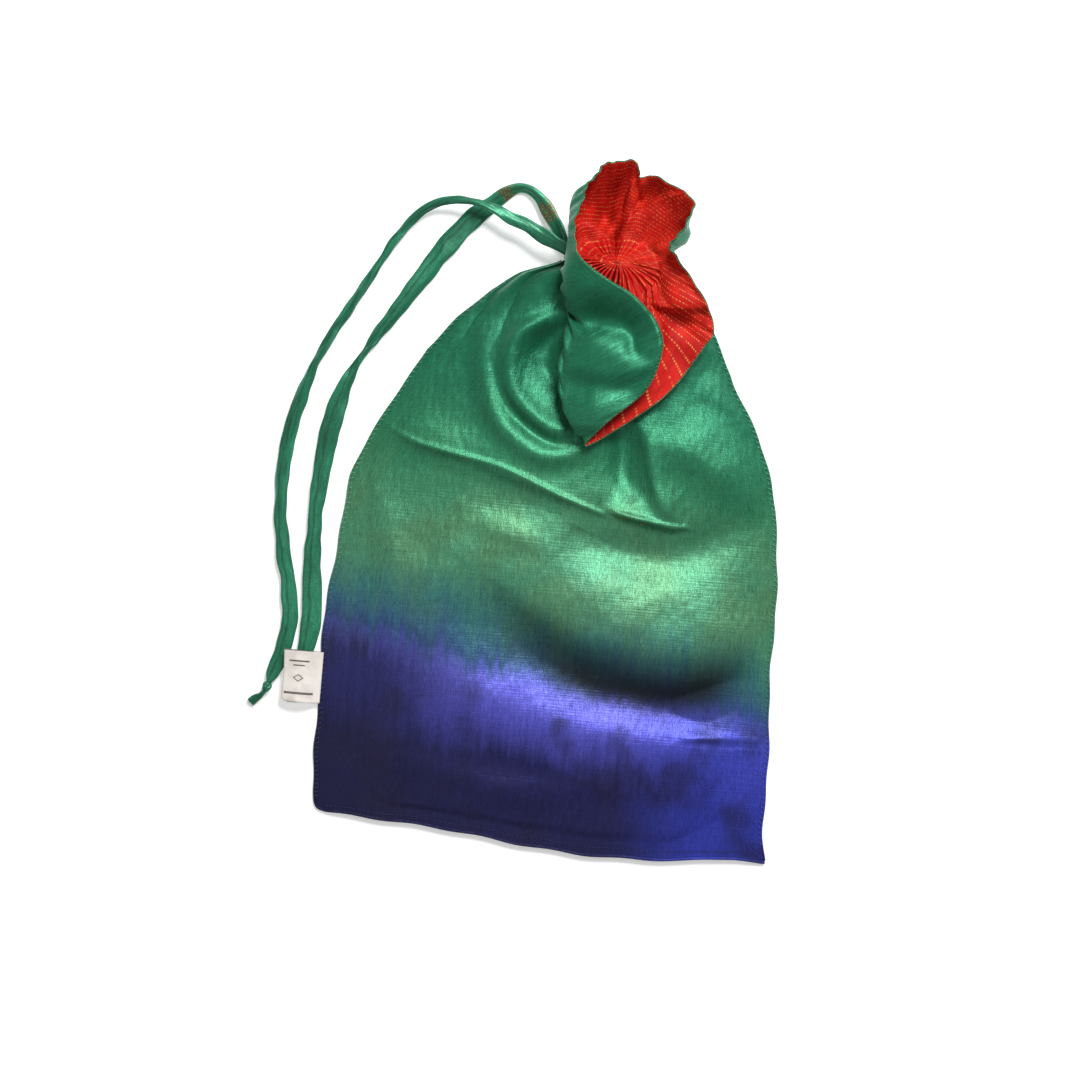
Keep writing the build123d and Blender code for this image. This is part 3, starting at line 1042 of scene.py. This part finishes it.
def grid_normals(surface):
    """Unit normals of a grid that closes round its columns."""
    along_rows = np.gradient(surface, axis=0)
    along_columns = np.roll(surface, -1, axis=1) - np.roll(surface, 1, axis=1)
    normals = np.cross(along_columns, along_rows)
    return normals / np.maximum(np.linalg.norm(normals, axis=2, keepdims=True), 1e-9)


def window(values, start, full, fall, end):
    """0 outside start to end, 1 between full and fall."""
    rise = np.clip((values - start) / (full - start), 0, 1)
    drop = np.clip((end - values) / (end - fall), 0, 1)
    return rise * rise * (3 - 2 * rise) * drop * drop * (3 - 2 * drop)


def column_degrees(columns):
    """Degrees round the neck for each column of the frill."""
    degrees = [station[0] for station in frill_stations] + [360]
    return np.interp(np.arange(columns) * len(frill_stations) / columns, np.arange(len(degrees)), degrees)


def pleat_wave(angle):
    """Uneven gathers round the neck, from -1 to 1."""
    return np.sin(pleat_count * angle + 1.1 * np.sin(3 * angle) + 0.6 * np.sin(7 * angle))


# Folds of the frill: points (X, Y, height), then the width on the left and on the right of the line.
lip_folds = [
    # The rolled collar, the tuck under it and the lobe that comes out of the tuck.
    ([(-0.012, 0.176, 0.0020), (0.000, 0.1730, 0.0026), (0.012, 0.1690, 0.0026), (0.024, 0.1640, 0.0022),
      (0.036, 0.159, 0.0012)], 0.011, 0.0100),
    ([(-0.012, 0.156, -0.0030), (0.000, 0.1525, -0.0060), (0.010, 0.1505, -0.0092), (0.020, 0.1490, -0.0095),
      (0.030, 0.1470, -0.0066), (0.042, 0.146, -0.0008)], 0.0110, 0.0100),
    # Soft folds over the lobe: lit down to a crest, dark behind it, then lit again to the lower edge.
    ([(-0.006, 0.126, 0.0016), (0.010, 0.1215, 0.0044), (0.026, 0.121, 0.0044), (0.044, 0.127, 0.0014)],
     0.026, 0.0075),
    ([(-0.004, 0.112, -0.0004), (0.014, 0.1110, -0.0020), (0.034, 0.114, -0.0020), (0.046, 0.123, -0.0006)],
     0.0060, 0.0080),
    ([(-0.006, 0.094, 0.0010), (0.010, 0.0890, 0.0066), (0.028, 0.094, 0.0054), (0.040, 0.103, 0.0014)],
     0.022, 0.007),
    ([(0.026, 0.150, -0.0006), (0.032, 0.142, -0.0026), (0.033, 0.134, -0.0026), (0.041, 0.131, -0.0004)],
     0.0034, 0.0040),
]
mouth_folds = [
    # The crest of the right petal, which hangs over the throat, and the left one beside it.
    ([(0.0215, 0.184, 0.0030), (0.0190, 0.196, 0.0072), (0.0215, 0.208, 0.0086), (0.031, 0.219, 0.0076),
      (0.046, 0.227, 0.0040)], 0.0030, 0.013),
    ([(0.0170, 0.182, 0.0030), (0.0150, 0.191, 0.0064), (0.0125, 0.200, 0.0072), (0.007, 0.206, 0.0058),
      (-0.003, 0.207, 0.0015)], 0.0120, 0.0030),
    ([(0.0192, 0.184, -0.0040), (0.0172, 0.193, -0.0095), (0.0165, 0.202, -0.0080), (0.018, 0.210, -0.0030)],
     0.0028, 0.0028),
    ([(0.014, 0.207, -0.0010), (0.009, 0.215, -0.0052), (0.003, 0.220, -0.0030), (-0.002, 0.222, -0.0010)],
     0.006, 0.006),
    ([(0.0260, 0.246, -0.0030), (0.0262, 0.236, -0.0050), (0.028, 0.226, -0.0034)], 0.0022, 0.0022),
    # The lit fold across the middle, the line under it, and a dimple in the lower lobe.
    ([(0.022, 0.179, 0.0030), (0.034, 0.186, 0.0056), (0.046, 0.190, 0.0036)], 0.0024, 0.0120),
    ([(0.036, 0.166, 0.0010), (0.048, 0.1620, 0.0050), (0.062, 0.1620, 0.0054), (0.078, 0.165, 0.0030)],
     0.0130, 0.0016),
    ([(0.050, 0.158, -0.0020), (0.060, 0.154, -0.0040), (0.070, 0.152, -0.0020)], 0.0040, 0.0080),
    # The lining bulges in a narrow band beside the edge of the lobe.
    ([(0.024, 0.171, 0.0014), (0.040, 0.161, 0.0032), (0.0485, 0.149, 0.0036), (0.0485, 0.135, 0.0032),
      (0.042, 0.118, 0.0010)], 0.0018, 0.0060),
]


def ruffle(surface):
    """Gathers at the neck, the frill's own folds and a gently waving edge."""
    rows, columns, axes = surface.shape
    out = np.linspace(0, 1, rows)[:, None]
    turn = np.linspace(0, 2 * math.pi, columns, endpoint=False)[None, :]
    degrees = column_degrees(columns)[None, :]
    lip = window(degrees, 92, 108, 200, 210)
    tall = 0.24 + 0.42 * lip
    gathers = pleat_wave(np.radians(degrees)) * (0.0017 + 0.0053 * lip) * np.clip(1 - out / tall, 0, 1) ** 0.9
    calm = 1 - 0.75 * lip
    slow = 0.0011 * np.sin(11 * turn + 5 * out) * np.sin(math.pi * out)
    slow = (slow + 0.0007 * np.sin(17 * turn - 3 * out) * out) * calm
    hem = 0.0005 * np.sin(47 * turn) * out ** 3 * calm
    surface = surface + grid_normals(surface) * (gathers + slow + hem)[:, :, None]
    x, y = surface[:, :, 0], surface[:, :, 1]
    outer = np.clip((out - 0.30) / 0.12, 0, 1)
    rise = folded(x, y, lip_folds) * lip * outer
    inner = window(degrees, 212, 226, 360, 361) + window(degrees, -1, 0, 70, 88)
    rise += folded(x, y, mouth_folds) * inner * np.clip((out - 0.03) / 0.10, 0, 1)
    surface[:, :, 2] += rise
    return surface


def ring_grid_piece(name, surface, flip):
    """A sheet over a grid that closes round its columns, with UV in metres."""
    rows, columns, axes = surface.shape
    index = np.arange(rows * columns).reshape(rows, columns)
    a, b = index[:-1], np.roll(index[:-1], -1, axis=1)
    d, c = index[1:], np.roll(index[1:], -1, axis=1)
    order = (a, d, c, b) if flip else (a, b, c, d)
    faces = np.stack(order, axis=-1).reshape(-1, 4)
    piece = make_object(name, surface.reshape(-1, 3).tolist(), faces.tolist())

    def place_uv(place):
        column = (place % columns).reshape(-1, 4)
        wraps = (column.max(axis=1) - column.min(axis=1) > columns / 2)[:, None]
        column = np.where(wraps & (column == 0), columns, column).ravel()
        return column / columns * frill_round, place // columns / (rows - 1) * frill_tall

    set_uv(piece, place_uv)
    return piece


def drawn_in(surface):
    """The gathers meet in the middle of the drawn throat."""
    out = np.linspace(0, 1, len(surface))[:, None, None]
    reach = (0.22 - 0.09 * window(column_degrees(surface.shape[1]), 80, 115, 250, 285))[None, :, None]
    share = np.clip(1 - out / reach, 0, 1) ** 0.8 * 0.93
    return surface * (1 - share) + throat_middle * share


throat_middle = np.array([0.0185, 0.1860, 0.0250])
frill_shape = drawn_in(ruffle(frill_surface()))
frill_normals = grid_normals(frill_shape)


def frill_layer(name, shift, flip, nodes):
    shape = frill_shape + frill_normals * shift
    piece = ring_grid_piece(name, shape, flip)
    thicken(piece, cloth)
    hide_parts(*nodes)
    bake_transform(piece)
    return piece


frill_outer = frill_layer("frill_outer_layer", 0.0005, False, ["frill_outer", "lobe_outer"])
frill_lining = frill_layer("frill_lining_layer", -0.0003, True, ["frill_lining", "lobe_lining"])


for piece in (outer_front, outer_back, frill_outer):
    piece.data.materials.append(satin)
for piece in (lining_front, lining_back, frill_lining):
    piece.data.materials.append(lining_red)


# ---------------------------------------------------------------- the casing, gathered on the drawstring

# Rings from the sack up to the frill: share, then middle and half sizes in millimetres, lean in degrees, and
# depth of the gathers in millimetres.
casing_rings = [
    (0.00, (17.0, 175.0, 10.6), (24.0, 8.4), 2, 3.2), (0.35, (17.5, 179.5, 10.9), (23.5, 8.4), 6, 3.4),
    (0.60, (18.0, 183.5, 10.8), (22.5, 8.0), 12, 3.4), (0.84, (18.4, 188.0, 11.0), (20.0, 6.6), 18, 3.0),
    (1.00, (18.5, 190.0, 15.0), (5.0, 1.6), 24, 0.4),
]
casing_columns = 620
casing_row_count = 22
lining_gathers = 0.84


def casing_surface(rows, shift, share=1.0):
    """The casing's grid of rings. shift moves it in or out, and share makes its gathers shallower."""
    shares = np.linspace(0, 1, rows)
    tables = [[(ring[0], value(ring)) for ring in casing_rings] for value in (
        lambda ring: ring[1][0], lambda ring: ring[1][1], lambda ring: ring[1][2],
        lambda ring: ring[2][0], lambda ring: ring[2][1], lambda ring: ring[3], lambda ring: ring[4],
    )]
    x, y, z, wide, deep, lean, depth = [table_values(table, shares)[:, None] for table in tables]
    angle = np.linspace(0, 2 * math.pi, casing_columns, endpoint=False)[None, :]
    wave = pleat_wave(angle) * depth * share
    tunnel = 0.9 * np.exp(-((shares[:, None] - 0.55) / 0.22) ** 2)
    left = np.sin(angle) * (wide + wave + tunnel + shift)
    back = np.cos(angle) * (deep + wave + tunnel + shift)
    lean = np.radians(lean)
    points = np.stack([x - left, y + back * np.sin(lean), z - back * np.cos(lean)], axis=-1) / 1000
    points[:, :, 2] = np.maximum(points[:, :, 2], rest_height)
    return points


def casing_layer(name, shift, flip, node, paint):
    gathers = 1.0 if shift == 0 else lining_gathers
    piece = ring_grid_piece(name, casing_surface(casing_row_count, shift, gathers), flip)
    thicken(piece, cloth)
    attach(piece, "sack")
    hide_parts(node)
    piece.data.materials.append(paint)
    return piece


casing_outer = casing_layer("casing_outer_layer", 0.0, False, "casing_outer", satin)
casing_lining = casing_layer("casing_lining_layer", -1.6, True, "casing_lining", lining_red)


# ---------------------------------------------------------------- seams, stitches and the drawstring's loop

def round_section(radius, sides=8):
    def section(share):
        angles = [2 * math.pi * number / sides for number in range(sides)]
        return [(radius * math.cos(angle), radius * math.sin(angle)) for angle in angles]
    return section


def as_vectors(points):
    return [Vector(point) for point in points]


def seam_roll(name, line, radius, node):
    """The rolled edge where front and back are sewn together."""
    line = even_line(as_vectors(line), 700)
    piece = sweep_section(name, line, round_section(radius))
    tube_uv(piece, line, 8)
    piece.data.materials.append(satin)
    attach(piece, "sack")
    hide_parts(node)
    return piece


def stitches(name, pairs, radius, paint, body="sack", lift=0.0003):
    """Short threads in one piece. Each bows up between its two ends."""
    points, faces = [], []
    sides = 5
    for start, end in pairs:
        heading = (end - start).normalized()
        side = heading.cross(Vector((0, 0, 1)))
        side = side.normalized() if side.length > 1e-6 else Vector((1, 0, 0))
        up = side.cross(heading)
        base = len(points)
        for share, rise in ((0.0, 0.0), (0.25, 0.8), (0.75, 0.8), (1.0, 0.0)):
            middle = start.lerp(end, share) + up * lift * rise
            for number in range(sides):
                angle = 2 * math.pi * number / sides
                point = middle + (side * math.cos(angle) + up * math.sin(angle)) * radius
                point.z = max(point.z, rest_height)
                points.append(point)
        for row in range(3):
            for number in range(sides):
                after = (number + 1) % sides
                at = base + row * sides
                faces.append((at + number, at + sides + number, at + sides + after, at + after))
        faces.append(tuple(base + number for number in range(sides)))
        faces.append(tuple(base + 3 * sides + number for number in reversed(range(sides))))
    piece = make_object(name, points, faces)
    piece.data.materials.append(paint)
    if body:
        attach(piece, body)
    return piece


front_points = panel_points["outer_front"]
side_rows = range(10, 330)
left_rim = front_points[:, 0] - [0.0002, 0, 0.0002]
right_rim = front_points[:, -1] - [-0.0002, 0, 0.0002]
left_seam = seam_roll("left_seam", left_rim[3:], 0.00065, "left_side_seam")
right_seam = seam_roll("right_seam", right_rim[1:], 0.00065, "right_side_seam")
bottom_line = np.concatenate([left_rim[3:0:-1], front_points[0] - [0, 0.0002, 0.0002]])
bottom_roll = seam_roll("bottom_hem", bottom_line, 0.0009, "bottom_seam")


def overlock_pairs(rim, inner, outward):
    pairs = []
    for row in side_rows[::3]:
        start = Vector(rim[row]) + Vector((outward * 0.0007, 0, 0.0002))
        pairs.append((start, Vector(inner[row + 1]) + Vector((0, 0, 0.0003))))
    return pairs


edge_pairs = overlock_pairs(left_rim, front_points[:, 2], -1)
edge_pairs += overlock_pairs(right_rim, front_points[:, -3], 1)
edge_stitches = stitches("edge_overlock", edge_pairs, 0.00020, pale_thread)
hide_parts("side_stitches")
hem_pairs = []
for column in range(6, 274, 3):
    start = Vector(front_points[4, column]) + Vector((0, 0, 0.0002))
    hem_pairs.append((start, Vector(front_points[4, column + 2]) + Vector((0, 0, 0.0002))))
navy_thread = thread_paint("navy_thread", (40, 40, 104))
hem_stitches = stitches("bottom_hem_stitches", hem_pairs, 0.00018, navy_thread)

casing_points = casing_surface(casing_row_count, 0.5)
casing_pairs = []
for row in (5, 17):
    for column in range(0, casing_columns, 10):
        end = (column + 6) % casing_columns
        casing_pairs.append((Vector(casing_points[row, column]), Vector(casing_points[row, end])))
casing_rows = stitches("casing_stitch_rows", casing_pairs, 0.00022, pale_thread)
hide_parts("casing_stitches")


def closed_tube(name, line, ups, radius, sides=10):
    """A tube along a closed line, with a direction away from the cloth at each point."""
    ahead = np.roll(line, -1, axis=0) - np.roll(line, 1, axis=0)
    ahead /= np.linalg.norm(ahead, axis=1, keepdims=True)
    across = np.cross(ahead, ups)
    across /= np.linalg.norm(across, axis=1, keepdims=True)
    ups = np.cross(across, ahead)
    angles = np.linspace(0, 2 * math.pi, sides, endpoint=False)
    cosines, sines = np.cos(angles)[:, None, None], np.sin(angles)[:, None, None]
    rings = line[None] + radius * (ups[None] * cosines + across[None] * sines)
    count = len(line)
    index = np.arange(sides * count).reshape(sides, count)
    a, b = index, np.roll(index, -1, axis=1)
    c, d = np.roll(np.roll(index, -1, axis=0), -1, axis=1), np.roll(index, -1, axis=0)
    faces = np.stack((a, b, c, d), axis=-1).reshape(-1, 4)
    piece = make_object(name, rings.reshape(-1, 3).tolist(), faces.tolist())
    set_uv(piece, lambda place: (place // count * 0.0008, place % count * 0.0009))
    return piece


ring_angles = np.linspace(0, 2 * math.pi, 200, endpoint=False)
loop_line = np.stack([
    0.0184 - 0.0190 * np.sin(ring_angles),
    0.1850 + 0.0036 * np.cos(ring_angles),
    0.0140 - 0.0066 * np.cos(ring_angles),
], axis=-1)
loop_up = np.stack([-np.sin(ring_angles), 0.5 * np.cos(ring_angles), -np.cos(ring_angles)], axis=-1)
drawn_loop = closed_tube("drawstring_in_casing", loop_line, loop_up, 0.0020)
drawn_loop.data.materials.append(cord_green)
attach(drawn_loop, "sack")
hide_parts("drawstring_loop")

mouth_line = frill_shape[-1] + (frill_shape[-1] - frill_shape[-2]) * 0.1
mouth_hem = closed_tube("mouth_hem", mouth_line, frill_normals[-1], 0.00045, 8)
mouth_hem.data.materials.append(satin)
mouth_pairs = []
mouth_reach = np.concatenate([[0], np.cumsum(np.linalg.norm(np.diff(mouth_line, axis=0), axis=1))])
for place in np.arange(0, mouth_reach[-1], 0.0021):
    column = int(np.searchsorted(mouth_reach, place))
    inward = frill_shape[-2, column] - mouth_line[column]
    inward = Vector(inward / np.linalg.norm(inward)) * 0.0013
    edge = Vector(mouth_line[column])
    for side in (-1, 1):
        lift = Vector(frill_normals[-1, column]) * 0.00050 * side
        slant = Vector(mouth_line[(column + 1) % around_count] - mouth_line[column]) * 0.4
        mouth_pairs.append((edge + inward + lift, edge + slant + lift))
mouth_stitches = stitches("mouth_overlock", mouth_pairs, 0.00015, gold_thread, body=None, lift=0.0001)
for piece in (mouth_hem, mouth_stitches):
    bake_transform(piece)


# ---------------------------------------------------------------- knots, the cut end and the label

def knot_piece(name, middle, heading, size, node):
    """An overhand knot drawn tight: a small three-lobed loop of tube."""
    ahead = Vector(heading).normalized()
    side = ahead.cross(Vector((0, 0, 1))).normalized()
    turn = np.linspace(0, 2 * math.pi, 120, endpoint=False)
    along_line = (2 + np.cos(3 * turn)) * np.cos(2 * turn) * size * 0.36
    across = (2 + np.cos(3 * turn)) * np.sin(2 * turn) * size * 0.27
    up = np.sin(3 * turn) * size * 0.42
    line = (np.array(middle)[None] + np.array(ahead)[None] * along_line[:, None]
            + np.array(side)[None] * across[:, None] + np.array([[0, 0, 1.0]]) * up[:, None])
    ups = np.repeat([[0.05, 0.03, 1.0]], len(line), axis=0)
    piece = closed_tube(name, line, ups, size * 0.80, 12)
    low = min(vertex.co.z for vertex in piece.data.vertices)
    for vertex in piece.data.vertices:
        vertex.co.z += max(0.0, rest_height - low)
    piece.data.materials.append(cord_green)
    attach(piece, "tails")
    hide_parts(node)
    return piece


long_end = long_line[-1]
long_heading = (long_line[-1] - long_line[-6]).normalized()
long_knot_middle = long_end + long_heading * 0.0022 + Vector((0, 0, 0.0004))
long_knot = knot_piece("long_tail_knot_tied", long_knot_middle, long_heading, 0.0019, "long_tail_knot")
short_end = short_line[-1]
short_heading = (short_line[-1] - short_line[-6]).normalized()
short_knot_middle = short_end + short_heading * 0.0022
short_knot = knot_piece("short_tail_knot_tied", short_knot_middle, short_heading, 0.0018, "short_tail_knot")


def stub_section(share):
    wide = mix(0.0015, 0.0026, ease(0.1, 0.8, share))
    thick = mix(0.0015, 0.0007, share)
    return [(wide * math.cos(a), thick * math.sin(a) + 0.0004 * math.sin(2 * a))
            for a in [2 * math.pi * number / 14 for number in range(14)]]


stub_steps = [
    (-0.0012, -0.0030, 0.0002), (-0.0036, -0.0058, -0.0006), (-0.0066, -0.0078, -0.0014),
    (-0.0092, -0.0104, -0.0018),
]
stub_line = even_line([long_knot_middle + Vector(step) for step in stub_steps], 2400)
stub = sweep_section("long_tail_cut", stub_line, stub_section)
tube_uv(stub, stub_line, 14)
stub.data.materials.append(cord_green)
fray = []
for number in range(9):
    start = stub_line[-1] + Vector((0.0016, -0.0016, 0)) * (number / 4 - 1)
    fray.append((start, start + Vector((-0.0007, -0.0009, 0.0002)) * random.uniform(0.7, 1.6)))
cord_thread = thread_paint("cord_thread", (44, 122, 88))
fray_threads = stitches("cut_end_threads", fray, 0.00012, cord_thread, body="tails", lift=0.0)
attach(stub, "tails")
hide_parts("long_tail_cut_end")


def folded_label():
    """A cotton tape folded once, with both ends in the side seam."""
    reach = label_high.x - label_low.x + 0.0012
    rows, columns = 30, 56
    seam_x = label_high.x + 0.0010
    points = []
    for row in range(rows):
        share = row / (rows - 1)
        y = mix(label_low.y, label_high.y, share)
        corner = 0.0045
        drop = max(0.0, corner - (y - label_low.y))
        out = reach - (corner - math.sqrt(corner ** 2 - drop ** 2)) - 0.0006 * math.sin(math.pi * share)
        for column in range(columns):
            at = 2 * column / (columns - 1) - 1
            place = 1 - abs(at)
            x = seam_x - out * place
            bulge = 0.0030 * ease(0.0, 0.45, place) - 0.0016 * ease(0.6, 1.0, place)
            wave = 0.0007 * math.sin(share * 5.0 + place * 3.0) * place
            gap = 0.00040 * math.copysign(1, at) * math.sqrt(max(0.0, 1 - max(0.0, place * 12 - 11) ** 2))
            z = 0.0034 + bulge + wave + 0.0018 * place + gap + 0.0010 * share * place
            points.append((x, y + 0.0010 * place * (share - 0.5), z))
    faces = []
    for row in range(rows - 1):
        for column in range(columns - 1):
            a = row * columns + column
            faces.append((a, a + 1, a + columns + 1, a + columns))
    piece = make_object("folded_label", points, faces)
    piece.data.materials.append(label_white)
    thicken(piece, 0.00035)
    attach(piece, "label")
    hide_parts("side_label")
    return piece


side_tag = folded_label()
